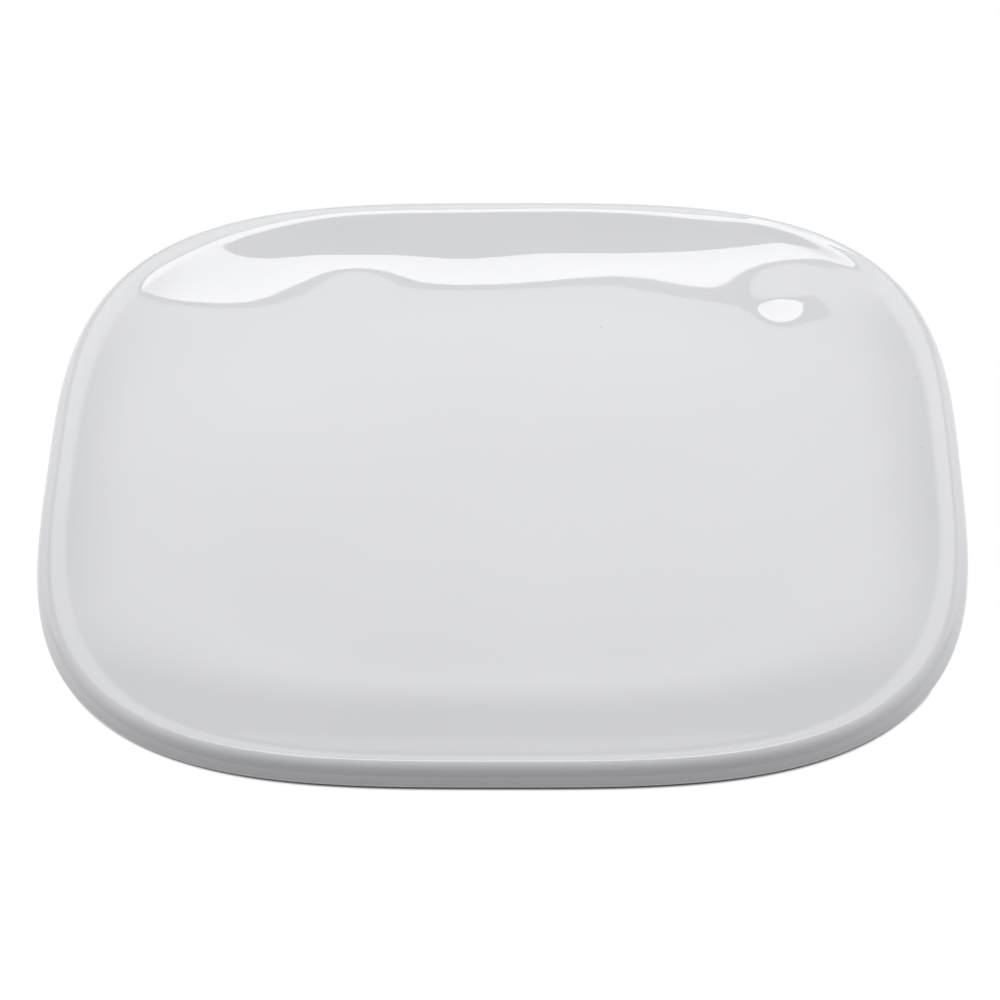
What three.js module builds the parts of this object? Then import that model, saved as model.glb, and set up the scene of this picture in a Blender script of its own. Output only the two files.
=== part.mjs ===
// Soft-square plate in white porcelain: a body pressed in one piece, and the two coats of glaze fired onto it.
//
// The body's section is drawn once, as arcs: from the middle of the base, round the foot ring, out along the
// underside, over the rounded lip and back down to the middle of the floor. A coat of glaze is a stretch of the same
// arcs drawn twice, bare and lifted by the coat. Each piece is turned on the lathe as if the plate were round, and
// its circles are then drawn out to the plate's outline.
//
// Millimetres, +Z up. The plate stands on z = 0 and the Z axis goes through its middle.

import * as THREE from "three";

const { clamp, degToRad } = THREE.MathUtils;

// The plate, measured over its glaze
const PLATE_WIDTH = 210; // across the flats
const RIM_POWER = 3.3; // of the superellipse round the rim: 2 is a circle, and a higher power is squarer
const WELL_POWER = 2.6; // of the rounder superellipse round the floor and the foot
const OUTER_ROLL_RADIUS = 4.2; // from the crest of the lip out to the plate's widest line
const INNER_ROLL_RADIUS = 3; // from the crest in to the wall
const LIP_LAND = 0.5; // the flat along the crest, in the middle of a side
const LIP_EDGE_RADIUS = 1.2; // where the outer roll turns under
const WELL_DEPTH = 5.4; // from the crest of the lip down to the floor
const WALL_SLOPE = degToRad(16); // of the inner wall's straight stretch, in the middle of a side
const COVE_RADIUS = 130; // the slow hollow curve from the wall to the floor
const CORNER_EASE = 0.55; // how late the rim's shape turns into the well's: 1 is evenly, from the crest to the floor
const UNDERSIDE_RADIUS = 100; // the full curve of the outer wall, from the lip to the base
const GLAZE_THICKNESS = 0.3;

// The bare body
const FLOOR_THICKNESS = 5.1;
const FOOT_HEIGHT = 3.1; // from the bearing face up to the base
const FOOT_WIDTH = 4.5; // of the bearing face, before its edges are rounded
const FOOT_SETBACK = 3.5; // from the start of the outer wall's curve in to the bearing face
const FOOT_DRAFT = degToRad(12); // so that the foot leaves its mould
const FOOT_EDGE_RADIUS = 0.8;
const FOOT_FILLET_RADIUS = 1.2; // where the foot grows out of the base

// Facets of each curve
const FACETS_ROUND = 64;
const LIP_EDGE_FACETS = 4;
const OUTER_ROLL_FACETS = 6;
const INNER_ROLL_FACETS = 2;
const COVE_FACETS = 8;
const UNDERSIDE_FACETS = 5;
const FOOT_FACETS = 2;

// Directions across the section, where x runs out from the plate's axis and y is the height
const OUT = 0;
const UP = Math.PI / 2;
const IN = Math.PI;
const DOWN = -Math.PI / 2;

const halfWidth = PLATE_WIDTH / 2;
const floorHeight = FOOT_HEIGHT + FLOOR_THICKNESS + GLAZE_THICKNESS;
const crestHeight = floorHeight + WELL_DEPTH;

// Moves a point of the section by a distance in a direction
function moved(point, distance, direction) {
  return new THREE.Vector2(
    point.x + distance * Math.cos(direction),
    point.y + distance * Math.sin(direction),
  );
}

// An arc of the section with its bare radius. The angles are directions of the surface's outward normal, so they
// rise along a full arc and fall along a hollow one.
function fullArc(centre, radius, from, to, facets) {
  return { centre, radius, from, to, facets, hollow: false };
}

function hollowArc(centre, radius, from, to, facets) {
  return { centre, radius, from, to, facets, hollow: true };
}

// Points along an arc, lifted off the body by a coat: that widens a full arc and tightens a hollow one
function arcPoints({ centre, radius, from, to, facets, hollow }, coat) {
  const reach = hollow ? coat - radius : coat + radius;
  return new THREE.EllipseCurve(centre.x, centre.y, reach, reach, from, to, hollow).getPoints(facets);
}

// Points along arcs that run into each other, with one point where two of them meet
function tangentArcPoints(arcs, coat) {
  return arcs.flatMap((arc, i) => arcPoints(arc, coat).slice(i > 0 ? 1 : 0));
}

// The lip and the inner wall: the wall's straight stretch is as long as the well's depth needs
const outerRollCentre = new THREE.Vector2(halfWidth - OUTER_ROLL_RADIUS, crestHeight - OUTER_ROLL_RADIUS);
const innerRollCentre = new THREE.Vector2(outerRollCentre.x - LIP_LAND, crestHeight - INNER_ROLL_RADIUS);
const lipEdgeCentre = new THREE.Vector2(halfWidth - LIP_EDGE_RADIUS, outerRollCentre.y);
const rollDrop = INNER_ROLL_RADIUS * (1 - Math.cos(WALL_SLOPE));
const coveDrop = COVE_RADIUS * (1 - Math.cos(WALL_SLOPE));
const wallLength = (WELL_DEPTH - rollDrop - coveDrop) / Math.sin(WALL_SLOPE);
const wallNormal = UP + WALL_SLOPE;
const wallTop = moved(innerRollCentre, INNER_ROLL_RADIUS, wallNormal);
const wallFoot = moved(wallTop, wallLength, IN + WALL_SLOPE);
const coveCentre = moved(wallFoot, COVE_RADIUS, wallNormal);

// The outer wall: its curve is tangent to the lip's edge and to the base
const undersideCentreHeight = FOOT_HEIGHT - GLAZE_THICKNESS + UNDERSIDE_RADIUS;
const edgeToUnderside = UNDERSIDE_RADIUS - LIP_EDGE_RADIUS;
const undersideSlope = Math.acos((undersideCentreHeight - lipEdgeCentre.y) / edgeToUnderside);
const undersideCentre = new THREE.Vector2(
  lipEdgeCentre.x - edgeToUnderside * Math.sin(undersideSlope),
  undersideCentreHeight,
);

// From the base out along the underside, over the lip and down into the well
const underside = fullArc(
  undersideCentre, UNDERSIDE_RADIUS - GLAZE_THICKNESS, DOWN, DOWN + undersideSlope, UNDERSIDE_FACETS,
);
const lipEdge = fullArc(
  lipEdgeCentre, LIP_EDGE_RADIUS - GLAZE_THICKNESS, DOWN + undersideSlope, OUT, LIP_EDGE_FACETS,
);
const outerRoll = fullArc(
  outerRollCentre, OUTER_ROLL_RADIUS - GLAZE_THICKNESS, OUT, UP, OUTER_ROLL_FACETS,
);
const innerRoll = fullArc(
  innerRollCentre, INNER_ROLL_RADIUS - GLAZE_THICKNESS, UP, wallNormal, INNER_ROLL_FACETS,
);
const cove = hollowArc(coveCentre, COVE_RADIUS + GLAZE_THICKNESS, wallNormal, UP, COVE_FACETS);

// The foot ring: its two walls mirror each other about the ring's middle
const footMiddle = undersideCentre.x - FOOT_SETBACK - FOOT_WIDTH / 2;
const edgeReach = FOOT_WIDTH / 2 - FOOT_EDGE_RADIUS * (1 - Math.sin(FOOT_DRAFT)) / Math.cos(FOOT_DRAFT);
const filletHeight = FOOT_HEIGHT - FOOT_FILLET_RADIUS;
const filletReach =
  FOOT_WIDTH / 2 + (FOOT_FILLET_RADIUS + filletHeight * Math.sin(FOOT_DRAFT)) / Math.cos(FOOT_DRAFT);
const outerWallNormal = OUT - FOOT_DRAFT;
const innerWallNormal = -IN + FOOT_DRAFT;

const outerEdge = fullArc(
  new THREE.Vector2(footMiddle + edgeReach, FOOT_EDGE_RADIUS),
  FOOT_EDGE_RADIUS, DOWN, outerWallNormal, FOOT_FACETS,
);
const innerEdge = fullArc(
  new THREE.Vector2(footMiddle - edgeReach, FOOT_EDGE_RADIUS),
  FOOT_EDGE_RADIUS, innerWallNormal, DOWN, FOOT_FACETS,
);
const outerFillet = hollowArc(
  new THREE.Vector2(footMiddle + filletReach, filletHeight),
  FOOT_FILLET_RADIUS, outerWallNormal, DOWN, FOOT_FACETS,
);
const innerFillet = hollowArc(
  new THREE.Vector2(footMiddle - filletReach, filletHeight),
  FOOT_FILLET_RADIUS, DOWN, innerWallNormal, FOOT_FACETS,
);

// The glaze is wiped off the foot up to a line half way along each wall's straight
function glazeLine(edgeEnd, filletEnd, wallNormal, coat) {
  const bareLine = edgeEnd.clone().lerp(filletEnd, 0.5);
  return moved(bareLine, coat, wallNormal);
}

// The three stretches of the section, in the order that they follow each other
function baseStretch(coat) {
  const edgeEnd = arcPoints(innerEdge, 0).at(0);
  const filletEnd = arcPoints(innerFillet, 0).at(-1);
  return [...arcPoints(innerFillet, coat), glazeLine(edgeEnd, filletEnd, innerWallNormal, coat)];
}

function bareStretch() {
  return [...arcPoints(innerEdge, 0), ...arcPoints(outerEdge, 0)];
}

function mainStretch(coat) {
  const edgeEnd = arcPoints(outerEdge, 0).at(-1);
  const filletEnd = arcPoints(outerFillet, 0).at(0);
  return [
    glazeLine(edgeEnd, filletEnd, outerWallNormal, coat),
    ...arcPoints(outerFillet, coat),
    ...tangentArcPoints([underside, lipEdge, outerRoll], coat),
    ...arcPoints(innerRoll, coat),
    ...arcPoints(cove, coat),
  ];
}

// A point of a superellipse for an angle round the plate, and the outward normal there
function superellipse(halfSide, power, angle) {
  const along = new THREE.Vector2(Math.cos(angle), Math.sin(angle));
  const point = new THREE.Vector2();
  const normal = new THREE.Vector2();
  for (const axis of ["x", "y"]) {
    const share = Math.abs(along[axis]) ** (2 / power);
    point[axis] = halfSide * Math.sign(along[axis]) * share;
    normal[axis] = Math.sign(along[axis]) * share ** (power - 1);
  }
  return { point, normal: normal.normalize() };
}

// Draws a round solid out to the plate's outline. Rings outside the crest of the lip keep an even distance from the
// edge. From there to the floor they turn into the well's rounder shape, so the wall is gentler in the corners.
function drawOutToOutline(geometry) {
  const positions = geometry.getAttribute("position");
  const floorInset = halfWidth - coveCentre.x;
  for (let i = 0; i < positions.count; i++) {
    const x = positions.getX(i);
    const y = positions.getY(i);
    const angle = Math.atan2(y, x);
    const inset = halfWidth - Math.hypot(x, y);
    const rim = superellipse(halfWidth, RIM_POWER, angle);
    const even = rim.point.addScaledVector(rim.normal, -inset);
    const round = superellipse(halfWidth - inset, WELL_POWER, angle).point;
    const wayToFloor = clamp((inset - OUTER_ROLL_RADIUS) / (floorInset - OUTER_ROLL_RADIUS), 0, 1);
    even.lerp(round, wayToFloor ** CORNER_EASE);
    positions.setXY(i, even.x, even.y);
  }
}

// Swaps two corners of each triangle, which turns a solid inside out
function turnInsideOut(geometry) {
  const index = geometry.getIndex();
  for (let i = 0; i < index.count; i += 3) {
    const second = index.getX(i + 1);
    index.setX(i + 1, index.getX(i + 2));
    index.setX(i + 2, second);
  }
}

// A closed solid from a section that is brought in flat to the axis at both ends
function turnedSolid(section) {
  const onAxis = (point) => new THREE.Vector2(0, point.y);
  const profile = [onAxis(section.at(0)), ...section, onAxis(section.at(-1))];
  const geometry = new THREE.LatheGeometry(profile, FACETS_ROUND);
  geometry.rotateX(Math.PI / 2);
  drawOutToOutline(geometry);
  return geometry;
}

// The body is turned from the floor down and then righted, because the order of a section's points sets the
// diagonal that splits each facet: its facets are then split as those of the coats' inner faces are, and the coats
// lie on it with no gap.
function bodySolid() {
  const section = [...baseStretch(0), ...bareStretch(), ...mainStretch(0)];
  const geometry = turnedSolid(section.reverse());
  turnInsideOut(geometry);
  return geometry;
}

function mainCoatSolid() {
  return turnedSolid([...mainStretch(0).reverse(), ...mainStretch(GLAZE_THICKNESS)]);
}

function baseCoatSolid() {
  return turnedSolid([...baseStretch(GLAZE_THICKNESS), ...baseStretch(0).reverse()]);
}

const biscuit = new THREE.MeshStandardMaterial({ color: 0xe6e2da, roughness: 0.8, metalness: 0 });
const glaze = new THREE.MeshStandardMaterial({ color: 0xe3e3e5, roughness: 0.12, metalness: 0 });

const plate = new THREE.Group();

function addPiece(name, geometry, material) {
  geometry.computeVertexNormals();
  const piece = new THREE.Mesh(geometry, material);
  piece.name = name;
  plate.add(piece);
}

addPiece("porcelain_body", bodySolid(), biscuit);
addPiece("glaze_coat", mainCoatSolid(), glaze);
addPiece("base_glaze", baseCoatSolid(), glaze);

export default plate;
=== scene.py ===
# %% [markdown]
# A soft-square porcelain plate, dressed on its CAD frame. The plate is one pressed and fired body with a
# coat of white glaze, so the lesson follows the way it is made: draw the section, turn it on the wheel,
# draw the round form out to a soft square, let the kiln move it a little, then grow the glaze from the
# body's own skin.

# %% Load the frame
import math

import bmesh
import bpy
from mathutils import Matrix, Vector


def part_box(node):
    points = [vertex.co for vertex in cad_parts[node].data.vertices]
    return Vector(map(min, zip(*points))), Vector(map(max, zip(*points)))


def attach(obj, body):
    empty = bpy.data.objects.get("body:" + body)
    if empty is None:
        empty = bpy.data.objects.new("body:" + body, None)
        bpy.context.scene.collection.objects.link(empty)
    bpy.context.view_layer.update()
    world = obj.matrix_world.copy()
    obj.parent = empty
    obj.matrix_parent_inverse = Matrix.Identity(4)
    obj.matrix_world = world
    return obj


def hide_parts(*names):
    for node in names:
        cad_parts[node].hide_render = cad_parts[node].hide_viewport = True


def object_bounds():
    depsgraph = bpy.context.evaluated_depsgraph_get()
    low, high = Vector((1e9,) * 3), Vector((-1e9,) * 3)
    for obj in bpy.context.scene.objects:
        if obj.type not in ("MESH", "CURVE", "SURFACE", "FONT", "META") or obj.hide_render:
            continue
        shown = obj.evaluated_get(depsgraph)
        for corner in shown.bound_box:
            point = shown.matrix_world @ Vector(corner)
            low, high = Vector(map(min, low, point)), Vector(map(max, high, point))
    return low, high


MM = 0.001


def in_mm(lengths):
    return [round(length / MM, 2) for length in lengths]


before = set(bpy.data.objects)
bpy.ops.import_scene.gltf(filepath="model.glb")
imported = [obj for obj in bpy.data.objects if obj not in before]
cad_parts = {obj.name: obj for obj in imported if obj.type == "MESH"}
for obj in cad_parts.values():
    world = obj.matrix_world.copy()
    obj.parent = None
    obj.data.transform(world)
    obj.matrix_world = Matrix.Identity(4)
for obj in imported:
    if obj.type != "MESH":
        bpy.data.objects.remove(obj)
cad_low, cad_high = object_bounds()
print("CAD box in mm:", in_mm(cad_high - cad_low))

# %% [markdown]
# The photograph looks down at the plate from the front with a long lens. The outline's perspective gives
# the camera: how far off it stands, how high, and how long its lens is. The camera is set from those few
# values, and it aims at a point a little in front of the plate's middle, level with the crest of the lip.
# A direction is given by its azimuth, counted from the front towards the right, and its elevation.

# %% Camera
LENS_MM = 165.3
CAMERA_DISTANCE = 1041 * MM
CAMERA_AZIMUTH = math.radians(1.0)
CAMERA_ELEVATION = math.radians(38.95)
CAMERA_ROLL = math.radians(-0.64)
AIM_BESIDE_MIDDLE = -0.62 * MM
AIM_IN_FRONT_OF_MIDDLE = 13.9 * MM


def towards(azimuth, elevation):
    return Vector((
        math.sin(azimuth) * math.cos(elevation),
        -math.cos(azimuth) * math.cos(elevation),
        math.sin(elevation),
    ))


aim = Vector((AIM_BESIDE_MIDDLE, -AIM_IN_FRONT_OF_MIDDLE, cad_high.z))
towards_camera = towards(CAMERA_AZIMUTH, CAMERA_ELEVATION)
bpy.ops.object.camera_add(location=aim + towards_camera * CAMERA_DISTANCE)
camera = bpy.context.object
level = towards_camera.to_track_quat("Z", "Y")
camera.rotation_mode = "QUATERNION"
camera.rotation_quaternion = level @ Matrix.Rotation(CAMERA_ROLL, 3, "Z").to_quaternion()
camera.data.lens = LENS_MM
bpy.context.scene.camera = camera
print("camera stands at", in_mm(camera.location), "mm")

# %% [markdown]
# A plate's whole form is in its section: half of the cut that a saw would make through the middle. It is
# a chain of arcs and straights, drawn here as distances out from the axis and heights, in metres. The
# width, the height and the glaze are read from the CAD nodes' boxes, so the two models stay the same
# size. The lip is drawn more finely than in the CAD model, and differs from it by a few tenths of a
# millimetre: a tight shoulder over a flatter outer face, and a slow roll into the well.

# %% Sizes
coat_low, coat_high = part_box("glaze_coat")
body_low, body_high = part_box("porcelain_body")

HALF_WIDTH = (coat_high.x - coat_low.x) / 2
CREST_HEIGHT = coat_high.z
GLAZE = coat_high.x - body_high.x

SHOULDER_RADIUS = 3 * MM
SHOULDER_TURN = math.radians(55)
FACE_RADIUS = 5 * MM
INNER_ROLL_RADIUS = 12 * MM
LIP_LAND = 0.2 * MM
LIP_EDGE_RADIUS = 1.2 * MM
WELL_DEPTH = 5.4 * MM
WALL_SLOPE = math.radians(16)
COVE_RADIUS = 126 * MM
UNDERSIDE_RADIUS = 100 * MM
FOOT_HEIGHT = 3.1 * MM
FOOT_WIDTH = 4.5 * MM
FOOT_SETBACK = 3.5 * MM
FOOT_DRAFT = math.radians(12)
FOOT_EDGE_RADIUS = 0.8 * MM
FOOT_FILLET_RADIUS = 1.2 * MM

FLOOR_HEIGHT = CREST_HEIGHT - WELL_DEPTH
print("bare body reaches from", in_mm(body_low), "to", in_mm(body_high), "mm")
print("half width, crest and glaze:", in_mm((HALF_WIDTH, CREST_HEIGHT, GLAZE)), "mm")

# %% [markdown]
# Each arc is given by its centre, its radius and two directions of the surface's outward normal. The
# centres follow from tangency: each arc starts in the direction in which the one before it ends, so light
# runs over the joins without a break. First come the lip and the well.

# %% Arcs of the lip and the well
OUT = 0.0
UP = math.pi / 2
IN = math.pi
DOWN = -math.pi / 2


def moved(point, distance, direction):
    return Vector((point.x + distance * math.cos(direction), point.y + distance * math.sin(direction)))


shoulder_normal = UP - SHOULDER_TURN
face_to_shoulder = FACE_RADIUS - SHOULDER_RADIUS
face_height = CREST_HEIGHT - SHOULDER_RADIUS - face_to_shoulder * math.sin(shoulder_normal)
face_centre = Vector((HALF_WIDTH - FACE_RADIUS, face_height))
shoulder_centre = moved(face_centre, face_to_shoulder, shoulder_normal)
inner_roll_centre = Vector((shoulder_centre.x - LIP_LAND, CREST_HEIGHT - INNER_ROLL_RADIUS))
lip_edge_centre = Vector((HALF_WIDTH - LIP_EDGE_RADIUS, face_height))

roll_drop = INNER_ROLL_RADIUS * (1 - math.cos(WALL_SLOPE))
cove_drop = COVE_RADIUS * (1 - math.cos(WALL_SLOPE))
wall_length = (WELL_DEPTH - roll_drop - cove_drop) / math.sin(WALL_SLOPE)
wall_normal = UP + WALL_SLOPE
wall_top = moved(inner_roll_centre, INNER_ROLL_RADIUS, wall_normal)
wall_foot = moved(wall_top, wall_length, IN + WALL_SLOPE)
cove_centre = moved(wall_foot, COVE_RADIUS, wall_normal)
print("straight of the wall and half of the floor:", in_mm((wall_length, cove_centre.x)), "mm")

# %% [markdown]
# The underside is one full curve from the lip to the base, and the foot is a drafted ring with rounded
# edges, as a plaster mould leaves it. Its places follow from where the underside meets the base.

# %% Arcs of the underside and the foot
underside_centre_height = FOOT_HEIGHT - GLAZE + UNDERSIDE_RADIUS
edge_to_underside = UNDERSIDE_RADIUS - LIP_EDGE_RADIUS
underside_slope = math.acos((underside_centre_height - lip_edge_centre.y) / edge_to_underside)
underside_centre = Vector((
    lip_edge_centre.x - edge_to_underside * math.sin(underside_slope),
    underside_centre_height,
))

foot_middle = underside_centre.x - FOOT_SETBACK - FOOT_WIDTH / 2
edge_reach = FOOT_WIDTH / 2 - FOOT_EDGE_RADIUS * (1 - math.sin(FOOT_DRAFT)) / math.cos(FOOT_DRAFT)
fillet_height = FOOT_HEIGHT - FOOT_FILLET_RADIUS
fillet_reach = FOOT_WIDTH / 2 + (
    FOOT_FILLET_RADIUS + fillet_height * math.sin(FOOT_DRAFT)
) / math.cos(FOOT_DRAFT)
outer_wall_normal = OUT - FOOT_DRAFT
inner_wall_normal = -IN + FOOT_DRAFT
print("middle of the foot ring:", *in_mm([foot_middle]), "mm from the axis")

# %% [markdown]
# The foot's section runs from the base inside it, down its inner wall, over the bearing face and up its
# outer wall. A full arc bulges and a hollow one dips. A straight leaves out its two ends, which its
# neighbours already have.

# %% Section of the foot
FOOT_STEPS = 5
FOOT_WALL_STEPS = 2
BEARING_STEPS = 4


def full_arc(centre, radius, start, end, steps):
    return [moved(centre, radius, start + (end - start) * i / steps) for i in range(steps + 1)]


def hollow_arc(centre, radius, start, end, steps):
    return full_arc(centre, -radius, start, end, steps)


def straight(start, end, steps):
    return [start.lerp(end, i / steps) for i in range(1, steps)]


def foot_fillet(reach, start, end):
    centre = Vector((foot_middle + reach, fillet_height))
    return hollow_arc(centre, FOOT_FILLET_RADIUS, start, end, FOOT_STEPS)


def foot_edge(reach, start, end):
    centre = Vector((foot_middle + reach, FOOT_EDGE_RADIUS))
    return full_arc(centre, FOOT_EDGE_RADIUS, start, end, FOOT_STEPS)


inner_fillet = foot_fillet(-fillet_reach, DOWN, inner_wall_normal)
inner_edge = foot_edge(-edge_reach, inner_wall_normal, DOWN)
outer_edge = foot_edge(edge_reach, DOWN, outer_wall_normal)
outer_fillet = foot_fillet(fillet_reach, outer_wall_normal, DOWN)
foot_section = [
    *inner_fillet,
    *straight(inner_fillet[-1], inner_edge[0], FOOT_WALL_STEPS),
    *inner_edge,
    *straight(inner_edge[-1], outer_edge[0], BEARING_STEPS),
    *outer_edge,
    *straight(outer_edge[-1], outer_fillet[0], FOOT_WALL_STEPS),
    *outer_fillet,
]
print("foot of", len(foot_section), "points")

# %% [markdown]
# Now the whole section is drawn as one chain of points: from the middle of the base, round the foot, out
# to the lip, over it and back to the middle of the floor. It is the bare body's, so the full arcs are
# smaller by the glaze, and the hollow cove is larger. Arcs that show gloss get more points, because a
# facet breaks a reflection long before it shows in the outline.

# %% Section of the bare body
BASE_STEPS = 12
SHELF_STEPS = 2
UNDERSIDE_STEPS = 14
LIP_EDGE_STEPS = 8
FACE_STEPS = 8
SHOULDER_STEPS = 12
INNER_ROLL_STEPS = 10
WALL_STEPS = 2
COVE_STEPS = 44
FLOOR_STEPS = 20

lip_start = DOWN + underside_slope
underside = full_arc(underside_centre, UNDERSIDE_RADIUS - GLAZE, DOWN, lip_start, UNDERSIDE_STEPS)
lip_edge = full_arc(lip_edge_centre, LIP_EDGE_RADIUS - GLAZE, lip_start, OUT, LIP_EDGE_STEPS)
lip_face = full_arc(face_centre, FACE_RADIUS - GLAZE, OUT, shoulder_normal, FACE_STEPS)
shoulder = full_arc(shoulder_centre, SHOULDER_RADIUS - GLAZE, shoulder_normal, UP, SHOULDER_STEPS)
inner_roll = full_arc(inner_roll_centre, INNER_ROLL_RADIUS - GLAZE, UP, wall_normal, INNER_ROLL_STEPS)
cove = hollow_arc(cove_centre, COVE_RADIUS + GLAZE, wall_normal, UP, COVE_STEPS)
base_middle = Vector((0, FOOT_HEIGHT))
floor_middle = Vector((0, FLOOR_HEIGHT - GLAZE))
body_section = [
    base_middle,
    *straight(base_middle, foot_section[0], BASE_STEPS),
    *foot_section,
    *straight(foot_section[-1], underside[0], SHELF_STEPS),
    *underside,
    *lip_edge[1:],
    *lip_face[1:],
    *shoulder[1:],
    *inner_roll,
    *straight(inner_roll[-1], cove[0], WALL_STEPS),
    *cove,
    *straight(cove[-1], floor_middle, FLOOR_STEPS),
    floor_middle,
]
print("section of", len(body_section), "points")

# %% [markdown]
# On the wheel: one vertex is extruded along the section, point by point, and the chain is spun a full
# turn about the axis. Spin leaves doubled vertices at the seam and on the axis, so they are merged, and
# then the normals are recalculated, because a chain spun from the bottom up can come out inside out.

# %% Turn the body on the wheel
TURN_STEPS = 288
MERGE_DISTANCE = 0.001 * MM


def deselect_all():
    bpy.ops.object.select_all(action="DESELECT")


def turned(name, points):
    deselect_all()
    bpy.ops.mesh.primitive_plane_add(size=MM)
    piece = bpy.context.object
    piece.name = name
    bpy.ops.object.mode_set(mode="EDIT")
    bpy.ops.mesh.merge(type="CENTER")
    bpy.ops.transform.translate(value=(points[0].x, 0, points[0].y))
    for last, point in zip(points, points[1:]):
        step = (point.x - last.x, 0, point.y - last.y)
        bpy.ops.mesh.extrude_vertices_move(TRANSFORM_OT_translate={"value": step})
    bpy.ops.mesh.select_all(action="SELECT")
    bpy.ops.mesh.spin(steps=TURN_STEPS, angle=math.tau, center=(0, 0, 0), axis=(0, 0, 1))
    bpy.ops.mesh.select_all(action="SELECT")
    bpy.ops.mesh.remove_doubles(threshold=MERGE_DISTANCE)
    bpy.ops.mesh.normals_make_consistent(inside=False)
    bpy.ops.object.mode_set(mode="OBJECT")
    return piece


body = turned("porcelain_body_fired", body_section)
print(body.name, "has", len(body.data.polygons), "faces")

# %% [markdown]
# The round form is now drawn out to the plate's outline, a superellipse: power 2 is a circle, and a
# higher power is squarer. A mould-maker does this with a template. No operator knows that curve, so the
# vertices are moved by its formula. Rings outside the crest of the lip keep an even distance from the
# edge, and further in they turn into a rounder superellipse, so that the wall lies flatter in the
# corners. An ease of 1 turns them evenly on the way to the floor. A lower one turns them sooner, right
# under the lip, and the back corners have more of that than the front ones. Each vertex's distance in
# from the edge of the round form is kept for the next step.

# %% Draw the round out to a soft square
RIM_POWER = 3.3
WELL_POWER = 2.6
CORNER_EASE_BACK = 0.35
CORNER_EASE_FRONT = 0.9


def share_of_way(value, start, end):
    return min(1, max(0, (value - start) / (end - start)))


def superellipse(half_side, power, direction):
    x, y = abs(direction.x), abs(direction.y)
    return direction * half_side / (x**power + y**power) ** (1 / power)


def rim_normal(rim):
    slope_x = math.copysign(abs(rim.x) ** (RIM_POWER - 1), rim.x)
    slope_y = math.copysign(abs(rim.y) ** (RIM_POWER - 1), rim.y)
    return Vector((slope_x, slope_y)).normalized()


def drawn_out(reach, direction):
    rim = superellipse(HALF_WIDTH, RIM_POWER, direction)
    even = rim - rim_normal(rim) * (HALF_WIDTH - reach)
    rounder = superellipse(reach, WELL_POWER, direction)
    way_to_floor = share_of_way(reach, shoulder_centre.x, cove_centre.x)
    way_to_back = (1 + direction.y) / 2
    corner_ease = CORNER_EASE_FRONT + (CORNER_EASE_BACK - CORNER_EASE_FRONT) * way_to_back
    return even.lerp(rounder, way_to_floor**corner_ease)


def draw_out_to_soft_square(piece):
    insets = []
    for vertex in piece.data.vertices:
        flat = vertex.co.xy
        insets.append(HALF_WIDTH - flat.length)
        if flat.length > MERGE_DISTANCE:
            vertex.co.xy = drawn_out(flat.length, flat.normalized())
    return insets


body_insets = draw_out_to_soft_square(body)
print("body is", in_mm(body.dimensions), "mm")

# %% [markdown]
# A fired plate is never quite true. Its wall sags and swells by about a millimetre in the kiln, too
# little to see in the shape, but gloss shows it: the edge of a reflection wanders wherever the slope
# changes. Each swell is a soft mound or hollow in the back wall, given by its middle, how far it spreads
# each way and its rise. Noise would give swells too, but not where this plate has them. All of them fade
# out over the lip, whose edge stays true, and none lifts the plate over its crest. Only the upper side
# moves, and the normals tell it from the underside.

# %% Let the kiln move the wall
SWELLS_MM = (
    # across, back, spread across, spread back, rise
    (-80, 68, 22, 8, -0.28),
    (-54, 78, 12, 8, -0.2),
    (-38, 86, 15, 9, -0.7),
    (-12, 92, 14, 6.5, 0.25),
    (30, 86, 25, 9, -0.35),
    (70, 89, 17, 13, -1.3),
    (90, 78, 14, 12, -0.8),
    (65.5, 67.5, 4.3, 5.3, 0.36),
)
SWELLS_START_INSET = 0.6 * MM
SWELLS_FULL_INSET = 7 * MM


def swell(place):
    rise = 0
    for across, back, spread_across, spread_back, full_rise in SWELLS_MM:
        off_across = (place.x / MM - across) / spread_across
        off_back = (place.y / MM - back) / spread_back
        rise += full_rise * MM * math.exp(-(off_across**2) - off_back**2)
    return rise


def inside_lip(inset):
    way_in = share_of_way(inset, SWELLS_START_INSET, SWELLS_FULL_INSET)
    # the smoothest step of fifth degree: level and unbent at both ends
    return way_in**3 * (10 - 15 * way_in + 6 * way_in**2)


body.data.update()
bare_crest = CREST_HEIGHT - GLAZE
upper_side = [vertex.normal.z > 0 for vertex in body.data.vertices]
moves = []
for vertex, inset, is_upper in zip(body.data.vertices, body_insets, upper_side):
    if is_upper:
        move = swell(vertex.co) * inside_lip(inset)
        vertex.co.z = min(vertex.co.z + move, bare_crest)
        moves.append(move)
deepest, highest = in_mm((min(moves), max(moves)))
print("the wall moves by", deepest, "to", highest, "mm")

# %% [markdown]
# The glaze is a skin on the body, so it is grown from the body's own faces: a copy of the body loses the
# faces that stay bare, and a Solidify modifier gives the rest their thickness outwards. A coat turned
# from a section of its own would need every later step again. The foot ring is wiped clean before firing,
# so the skin falls into two pieces, one over the plate and one inside the foot.

# %% Grow the two coats of glaze
GLAZE_LINE_HEIGHT = (FOOT_EDGE_RADIUS + fillet_height) / 2
HEIGHT_WITHIN_FLOOR = (FOOT_HEIGHT + FLOOR_HEIGHT) / 2
SMOOTH_ANGLE = math.radians(50)


def well_reach(point):
    return (abs(point.x) ** WELL_POWER + abs(point.y) ** WELL_POWER) ** (1 / WELL_POWER)


def is_bare(point):
    return point.z < GLAZE_LINE_HEIGHT


def is_base(point):
    return point.z < HEIGHT_WITHIN_FLOOR and well_reach(point) < foot_middle and not is_bare(point)


def is_main(point):
    return not is_bare(point) and not is_base(point)


def make_active(piece):
    deselect_all()
    piece.select_set(True)
    bpy.context.view_layer.objects.active = piece


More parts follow.
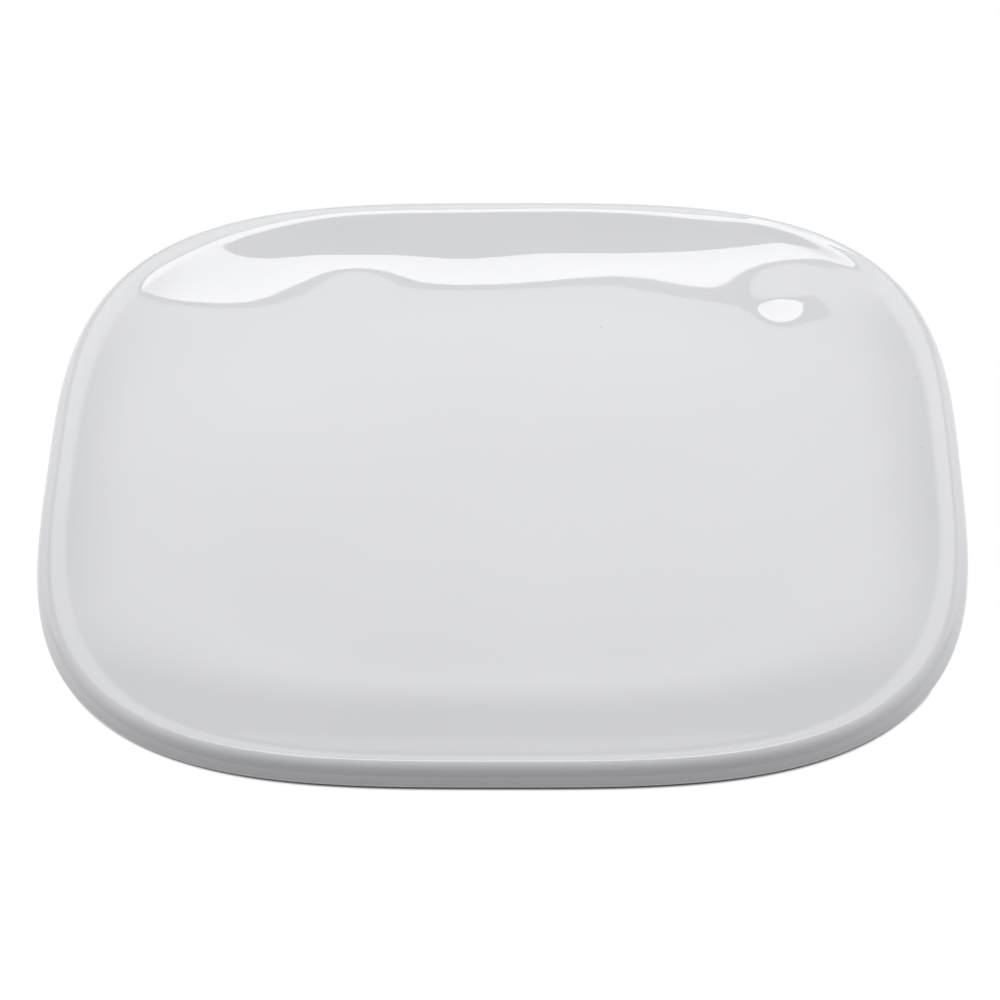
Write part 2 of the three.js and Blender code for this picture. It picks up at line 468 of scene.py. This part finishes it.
def coat_of(source, name, is_coated):
    make_active(source)
    bpy.ops.object.duplicate()
    coat = bpy.context.object
    coat.name = name
    bpy.ops.object.mode_set(mode="EDIT")
    bpy.ops.mesh.select_all(action="DESELECT")
    mesh = bmesh.from_edit_mesh(coat.data)
    for face in mesh.faces:
        face.select_set(not is_coated(face.calc_center_median()))
    bmesh.update_edit_mesh(coat.data)
    bpy.ops.mesh.delete(type="FACE")
    bpy.ops.object.mode_set(mode="OBJECT")
    solidify = coat.modifiers.new("Fired thickness", "SOLIDIFY")
    solidify.thickness = GLAZE
    solidify.offset = 1
    solidify.use_even_offset = True
    bpy.ops.object.modifier_apply(modifier=solidify.name)
    return coat


main_coat = coat_of(body, "glaze_coat_fired", is_main)
base_coat = coat_of(body, "base_glaze_fired", is_base)
for piece in (body, main_coat, base_coat):
    make_active(piece)
    bpy.ops.object.shade_smooth_by_angle(angle=SMOOTH_ANGLE)
    print(piece.name, "has", len(piece.data.polygons), "faces and is", in_mm(piece.dimensions), "mm")

# %% [markdown]
# White glaze is never one flat white: it pools a little cooler where it lies thick. A flat colour would
# look like plastic, so slow noise wanders between two tints that are almost the same. Noise keeps near
# the middle of its range, so that stretch is spread first. All patterns read Object coordinates, so they
# stay on the plate in every view.

# %% Tint of the glaze
GLAZE_TINTS = ((0.795, 0.80, 0.82), (0.815, 0.82, 0.84))
NOISE_LOW = 0.3
NOISE_HIGH = 0.7


def bare_material(name):
    material = bpy.data.materials.new(name)
    material.use_nodes = True
    tree = material.node_tree
    tree.nodes.clear()
    output = tree.nodes.new("ShaderNodeOutputMaterial")
    return material, tree, output.inputs["Surface"]


def ceramic_material(name):
    material, tree, surface = bare_material(name)
    shader = tree.nodes.new("ShaderNodeBsdfPrincipled")
    tree.links.new(shader.outputs["BSDF"], surface)
    return material, tree, shader.inputs


def object_coordinates(tree):
    return tree.nodes.new("ShaderNodeTexCoord").outputs["Object"]


def noise(tree, scale, detail):
    texture = tree.nodes.new("ShaderNodeTexNoise")
    texture.inputs["Scale"].default_value = scale
    texture.inputs["Detail"].default_value = detail
    tree.links.new(object_coordinates(tree), texture.inputs["Vector"])
    return texture.outputs["Fac"]


def wavering(tree, scale, detail, low, high):
    spread = tree.nodes.new("ShaderNodeMapRange")
    spread.inputs["From Min"].default_value = NOISE_LOW
    spread.inputs["From Max"].default_value = NOISE_HIGH
    spread.inputs["To Min"].default_value = low
    spread.inputs["To Max"].default_value = high
    tree.links.new(noise(tree, scale, detail), spread.inputs["Value"])
    return spread.outputs["Result"]


def colour_between(tree, factor, first, second):
    mix = tree.nodes.new("ShaderNodeMix")
    mix.data_type = "RGBA"
    tree.links.new(factor, mix.inputs["Factor"])
    for socket, colour in ((mix.inputs["A"], first), (mix.inputs["B"], second)):
        if isinstance(colour, tuple):
            socket.default_value = (*colour, 1)
        else:
            tree.links.new(colour, socket)
    return mix.outputs["Result"]


white_glaze, glaze_tree, glaze_sockets = ceramic_material("white glaze")
glaze_wander = wavering(glaze_tree, scale=14, detail=2, low=0, high=1)
glaze_tint = colour_between(glaze_tree, glaze_wander, *GLAZE_TINTS)
print(white_glaze.name, "wanders between", *GLAZE_TINTS)

# %% [markdown]
# Four specks of iron have come through the glaze. Each is a small dark dot that fades out round a place
# on the plate, by its distance from there. They could be tiny pieces of their own, but real ones lie in
# the glaze and don't stand out from it. Heights are squashed to a tenth first, so a speck needs its place
# from above and only a rough height.

# %% Specks in the glaze
SPECKS_MM = ((-44.2, 100.5, 13.9), (22.8, 58.7, 8.5), (96.6, 32.5, 13.1), (96.2, 6.6, 13))
SPECK_RADIUS = 0.35 * MM
SPECK_COLOUR = (0.5, 0.5, 0.52)
SPECK_SQUASH = Vector((1, 1, 0.1))


def math_node(tree, operation, first, second=0):
    node = tree.nodes.new("ShaderNodeMath")
    node.operation = operation
    for socket, value in zip(node.inputs, (first, second)):
        if isinstance(value, (int, float)):
            socket.default_value = value
        else:
            tree.links.new(value, socket)
    return node.outputs[0]


def faded(tree, value, none, full):
    fade = tree.nodes.new("ShaderNodeMapRange")
    fade.interpolation_type = "SMOOTHSTEP"
    fade.inputs["From Min"].default_value = none
    fade.inputs["From Max"].default_value = full
    tree.links.new(value, fade.inputs["Value"])
    return fade.outputs["Result"]


def in_specks(tree):
    squashed = tree.nodes.new("ShaderNodeVectorMath")
    squashed.operation = "MULTIPLY"
    squashed.inputs[1].default_value = SPECK_SQUASH
    tree.links.new(object_coordinates(tree), squashed.inputs[0])
    share = 0
    for speck in SPECKS_MM:
        distance = tree.nodes.new("ShaderNodeVectorMath")
        distance.operation = "DISTANCE"
        distance.inputs[1].default_value = Vector(speck) * MM * SPECK_SQUASH
        tree.links.new(squashed.outputs["Vector"], distance.inputs[0])
        share = math_node(tree, "MAXIMUM", faded(tree, distance.outputs["Value"], SPECK_RADIUS, 0), share)
    return share


specked_tint = colour_between(glaze_tree, in_specks(glaze_tree), glaze_tint, SPECK_COLOUR)
glaze_tree.links.new(specked_tint, glaze_sockets["Base Color"])
print(len(SPECKS_MM), "specks with a radius of", *in_mm([SPECK_RADIUS]), "mm")

# %% [markdown]
# A fired glaze is glass: its gloss is high and wavers a little, and its skin has a faint orange peel. The
# orange peel is far too fine to model, so it is bump, kept weak.

# %% Gloss and orange peel of the glaze
GLAZE_IOR = 1.55


def bump(tree, height, strength, distance):
    node = tree.nodes.new("ShaderNodeBump")
    node.inputs["Strength"].default_value = strength
    node.inputs["Distance"].default_value = distance
    tree.links.new(height, node.inputs["Height"])
    return node.outputs["Normal"]


def fire_on(piece, material):
    piece.data.materials.clear()
    piece.data.materials.append(material)
    print(piece.name, "is finished in", material.name)


gloss = wavering(glaze_tree, scale=60, detail=3, low=0.02, high=0.04)
orange_peel = bump(glaze_tree, noise(glaze_tree, scale=350, detail=1), strength=0.05, distance=0.05 * MM)
glaze_tree.links.new(gloss, glaze_sockets["Roughness"])
glaze_tree.links.new(orange_peel, glaze_sockets["Normal"])
glaze_sockets["IOR"].default_value = GLAZE_IOR
fire_on(main_coat, white_glaze)
fire_on(base_coat, white_glaze)

# %% [markdown]
# Where the foot was wiped, the fired body shows: a warm, matt, slightly gritty biscuit. It is made as the
# glaze is, but its patterns are much finer, and its grit is a stronger bump.

# %% Biscuit finish
BISCUIT_TINTS = ((0.66, 0.62, 0.55), (0.76, 0.73, 0.67))

bare_biscuit, biscuit_tree, biscuit_sockets = ceramic_material("bare biscuit")
biscuit_wander = wavering(biscuit_tree, scale=90, detail=4, low=0, high=1)
biscuit_tint = colour_between(biscuit_tree, biscuit_wander, *BISCUIT_TINTS)
matt = wavering(biscuit_tree, scale=400, detail=3, low=0.65, high=0.85)
grit = bump(biscuit_tree, noise(biscuit_tree, scale=2500, detail=3), strength=0.4, distance=0.05 * MM)
biscuit_tree.links.new(biscuit_tint, biscuit_sockets["Base Color"])
biscuit_tree.links.new(matt, biscuit_sockets["Roughness"])
biscuit_tree.links.new(grit, biscuit_sockets["Normal"])
fire_on(body, bare_biscuit)

# %% [markdown]
# Each piece rides on the plate's only body and stands for its CAD node, which is hidden.

# %% Tie the pieces to the frame
for piece, node, slot in (
    (body, "porcelain_body", "biscuit"),
    (main_coat, "glaze_coat", "glaze"),
    (base_coat, "base_glaze", "glaze"),
):
    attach(piece, "root")
    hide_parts(node)
    print(piece.name, "stands for", node)

# %% [markdown]
# The studio floor is white paper, and only a patch under the plate shows as grey paper under the lamps,
# so
# that the plate keeps its dark line of contact. That line is partly real shade and partly painted shadow:
# the patch is a darker sheet laid in the shape of the plate's shadow, and the dark stops at its drawn
# edge.
# The patch is the plate's outline drawn in a little, with its front cut off by the same outline moved
# back.
# The superellipse's formula is written in nodes here, because the floor is one flat face.

# %% Patch of shade under the plate, partly painted
SHADE_SHIFT = 9.75 * MM
SHADE_REACH = 101 * MM
SHADE_FADE = 1 * MM


def object_place(tree):
    place = tree.nodes.new("ShaderNodeSeparateXYZ")
    tree.links.new(object_coordinates(tree), place.inputs["Vector"])
    return place.outputs


def beyond_soft_square(tree, half_side, shift):
    place = object_place(tree)
    across = math_node(tree, "ABSOLUTE", place["X"])
    along = math_node(tree, "ABSOLUTE", math_node(tree, "SUBTRACT", place["Y"], shift))
    powers = [math_node(tree, "POWER", side, RIM_POWER) for side in (across, along)]
    reach = math_node(tree, "POWER", math_node(tree, "ADD", *powers), 1 / RIM_POWER)
    return faded(tree, reach, half_side, half_side + SHADE_FADE)


studio_paper, paper_tree, paper_surface = bare_material("studio floor")
# painted shadow: inside these two outlines the floor shows darker grey paper, in the plate's shadow shape
beyond_moved_back = beyond_soft_square(paper_tree, HALF_WIDTH, shift=SHADE_SHIFT)
beyond_drawn_in = beyond_soft_square(paper_tree, SHADE_REACH, shift=0)
outside_painted_shadow = math_node(paper_tree, "MAXIMUM", beyond_moved_back, beyond_drawn_in)
print("the shade starts", *in_mm([SHADE_SHIFT]), "mm behind the plate's front edge")

# %% [markdown]
# Outside that patch the paper reads as pure white to the camera and in gloss, by Light Path, while it
# still bounces a plain pale grey onto the plate. More light would make it white too, but would bleach the
# plate. The floor's back face is clear, and so is the patch inside the foot ring, so that a camera below
# the floor can see the plate's base in some light.

# %% Floor
PAPER_GREY = 0.42
LIT_FOOT_REACH = 60 * MM
FLOOR_WIDTH = 6


def seen_directly(tree):
    rays = tree.nodes.new("ShaderNodeLightPath")
    seen = rays.outputs["Is Camera Ray"]
    for kind in ("Is Glossy Ray", "Is Transmission Ray"):
        seen = math_node(tree, "MAXIMUM", seen, rays.outputs[kind])
    return seen


def mixed_shader(tree, factor, first, second):
    mix = tree.nodes.new("ShaderNodeMixShader")
    tree.links.new(factor, mix.inputs["Fac"])
    tree.links.new(first, mix.inputs[1])
    tree.links.new(second, mix.inputs[2])
    return mix.outputs["Shader"]


grey_paper = paper_tree.nodes.new("ShaderNodeBsdfDiffuse")
grey_paper.inputs["Color"].default_value = (PAPER_GREY, PAPER_GREY, PAPER_GREY, 1)
white_paper = paper_tree.nodes.new("ShaderNodeEmission")
clear = paper_tree.nodes.new("ShaderNodeBsdfTransparent")
geometry = paper_tree.nodes.new("ShaderNodeNewGeometry")
# painted shadow: outside the patch the camera and gloss see white, inside it grey paper partly in real
# shade
white_share = math_node(paper_tree, "MULTIPLY", seen_directly(paper_tree), outside_painted_shadow)
top = mixed_shader(paper_tree, white_share, grey_paper.outputs["BSDF"], white_paper.outputs["Emission"])
in_foot = math_node(paper_tree, "SUBTRACT", 1, beyond_soft_square(paper_tree, LIT_FOOT_REACH, shift=0))
clear_share = math_node(paper_tree, "MAXIMUM", geometry.outputs["Backfacing"], in_foot)
paper_tree.links.new(mixed_shader(paper_tree, clear_share, top, clear.outputs["BSDF"]), paper_surface)

deselect_all()
bpy.ops.mesh.primitive_plane_add(size=FLOOR_WIDTH)
floor = bpy.context.object
floor.name = "studio_floor"
floor.data.materials.append(studio_paper)
print(floor.name, "is", FLOOR_WIDTH, "m wide")

# %% [markdown]
# Three soft lamps light the plate: a long one behind and above it, which leaves the front of the lip in
# shade, and one at each side, which keep the side lips pale. They are hidden from gloss, because what the
# glaze mirrors is built apart from them, in the next step. A lamp's power follows from its size and the
# brightness of its face.

# %% Lamps
PLATE_MIDDLE = Vector((0, 0, 10 * MM))


def lamp(name, place, width, height, radiance):
    bpy.ops.object.light_add(type="AREA", location=place)
    light = bpy.context.object
    light.name = name
    light.rotation_mode = "QUATERNION"
    light.rotation_quaternion = (place - PLATE_MIDDLE).to_track_quat("Z", "Y")
    light.data.shape = "RECTANGLE"
    light.data.size = width
    light.data.size_y = height
    light.data.energy = radiance * math.pi * width * height
    light.visible_camera = False
    light.visible_glossy = False
    print(name, "gives", round(light.data.energy, 2), "W")


lamp("key_light", place=Vector((0, 0.34, 0.45)), width=1.4, height=0.3, radiance=1.6)
for name, across in (("left_light", -0.85), ("right_light", 0.85)):
    lamp(name, place=Vector((across, 0.25, 0.45)), width=0.8, height=0.8, radiance=1.4)

# %% [markdown]
# Gloss shows the room, so the room is built for it out of glowing cards that only gloss can see. A bright
# soft box far behind the plate makes the white band in the back wall, and the dark frame round it makes
# the grey line along the band. A weaker white card round and under them makes the sheen on the floor. It
# fades out downwards, which is the soft edge of tone in front. A pale card at each side keeps the side
# lips from going grey. Each fade is an axis of the card, the place on it where the glow is gone and the
# place where it is full.

# %% Cards that the glaze mirrors
PLATE_BACK = Vector((0, 80 * MM, 10 * MM))
BEHIND = math.pi
SOFT_BOX_ELEVATION = math.radians(52)
WHITE_CARD_ELEVATION = math.radians(36)
SIDE_CARD_ELEVATION = math.radians(17)
SIDE_CARD_TURN = math.radians(44)
CARD_CORNER = 0.05
CORNER_SEGMENTS = 8


def glow_material(name, radiance, fades=()):
    material, tree, surface = bare_material(name)
    glow = tree.nodes.new("ShaderNodeEmission")
    glow.inputs["Strength"].default_value = radiance
    if fades:
        place = object_place(tree)
        strength = radiance
        for axis, none, full in fades:
            strength = math_node(tree, "MULTIPLY", faded(tree, place[axis], none, full), strength)
        tree.links.new(strength, glow.inputs["Strength"])
    tree.links.new(glow.outputs["Emission"], surface)
    return material


def show_only_in_gloss(thing):
    for kind in ("camera", "diffuse", "shadow", "transmission"):
        setattr(thing, f"visible_{kind}", False)


def card(name, azimuth, elevation, distance, half_width, half_height, corner, radiance, fades=()):
    away = towards(azimuth, elevation)
    deselect_all()
    bpy.ops.mesh.primitive_plane_add(size=2, location=PLATE_BACK + distance * away)
    plane = bpy.context.object
    plane.name = name
    plane.rotation_mode = "QUATERNION"
    plane.rotation_quaternion = away.to_track_quat("Z", "Y")
    plane.scale = (half_width, half_height, 1)
    bpy.ops.object.transform_apply(location=False, rotation=False, scale=True)
    bpy.ops.object.mode_set(mode="EDIT")
    bpy.ops.mesh.select_all(action="SELECT")
    bpy.ops.mesh.bevel(offset=corner, segments=CORNER_SEGMENTS, affect="VERTICES")
    bpy.ops.object.mode_set(mode="OBJECT")
    plane.data.materials.append(glow_material(name, radiance, fades))
    show_only_in_gloss(plane)
    print(name, "is", 2 * half_width, "by", 2 * half_height, "m")


card(
    "studio_soft_box", BEHIND, SOFT_BOX_ELEVATION, distance=4,
    half_width=0.7, half_height=0.36, corner=0.25, radiance=4.5,
    fades=(("X", -1, -0.3), ("X", 1, 0.3)),
)
card(
    "studio_soft_box_frame", BEHIND, SOFT_BOX_ELEVATION, distance=4.05,
    half_width=0.78, half_height=0.48, corner=0.3, radiance=0.2,
)
card(
    "studio_white_card", BEHIND, WHITE_CARD_ELEVATION, distance=4.2,
    half_width=1.4, half_height=1.5, corner=CARD_CORNER, radiance=1.4,
    fades=(("X", -1.2, -0.4), ("X", 1.2, 0.4), ("Y", -0.75, 0.1), ("Y", 1.5, 1)),
)
for name, turn in (("studio_left_card", SIDE_CARD_TURN), ("studio_right_card", -SIDE_CARD_TURN)):
    card(
        name, BEHIND + turn, SIDE_CARD_ELEVATION, distance=4.5,
        half_width=1.4, half_height=1.1, corner=CARD_CORNER, radiance=1,
        fades=(("X", -1.4, -0.7), ("X", 1.4, 0.7)),
    )

# %% [markdown]
# The rest of the room is a dark ceiling: a dome, also seen by gloss alone. It darkens the steep parts of
# the wall, whose reflections go up past the soft box, and it stops just above the horizon.

# %% Dark ceiling
CEILING_RADIUS = 6
CEILING_FOOT_ELEVATION = math.radians(3)
CEILING_GLOW = 0.25

ceiling_foot = CEILING_RADIUS * math.sin(CEILING_FOOT_ELEVATION)
deselect_all()
bpy.ops.mesh.primitive_uv_sphere_add(segments=48, ring_count=30, radius=CEILING_RADIUS)
ceiling = bpy.context.object
ceiling.name = "studio_ceiling"
bpy.ops.object.mode_set(mode="EDIT")
bpy.ops.mesh.select_all(action="SELECT")
bpy.ops.mesh.bisect(plane_co=(0, 0, ceiling_foot), plane_no=(0, 0, 1), clear_inner=True)
bpy.ops.object.mode_set(mode="OBJECT")
ceiling.data.materials.append(glow_material("dark ceiling", CEILING_GLOW))
show_only_in_gloss(ceiling)
print(ceiling.name, "starts", round(ceiling_foot, 2), "m up")

# %% [markdown]
# The world is white wherever it is seen, and a weak even fill for everything that it lights.

# %% World and view
WORLD_FILL = 0.35
WORLD_WHITE = 1

world = bpy.data.worlds.new("studio")
bpy.context.scene.world = world
world.use_nodes = True
world_tree = world.node_tree
world_tree.nodes.clear()
world_output = world_tree.nodes.new("ShaderNodeOutputWorld")
fill = world_tree.nodes.new("ShaderNodeBackground")
white = world_tree.nodes.new("ShaderNodeBackground")
for background, strength in ((fill, WORLD_FILL), (white, WORLD_WHITE)):
    background.inputs["Color"].default_value = (1, 1, 1, 1)
    background.inputs["Strength"].default_value = strength
seen_world = mixed_shader(
    world_tree, seen_directly(world_tree), fill.outputs["Background"], white.outputs["Background"]
)
world_tree.links.new(seen_world, world_output.inputs["Surface"])
bpy.context.scene.view_settings.view_transform = "Standard"
print("world fill", WORLD_FILL)
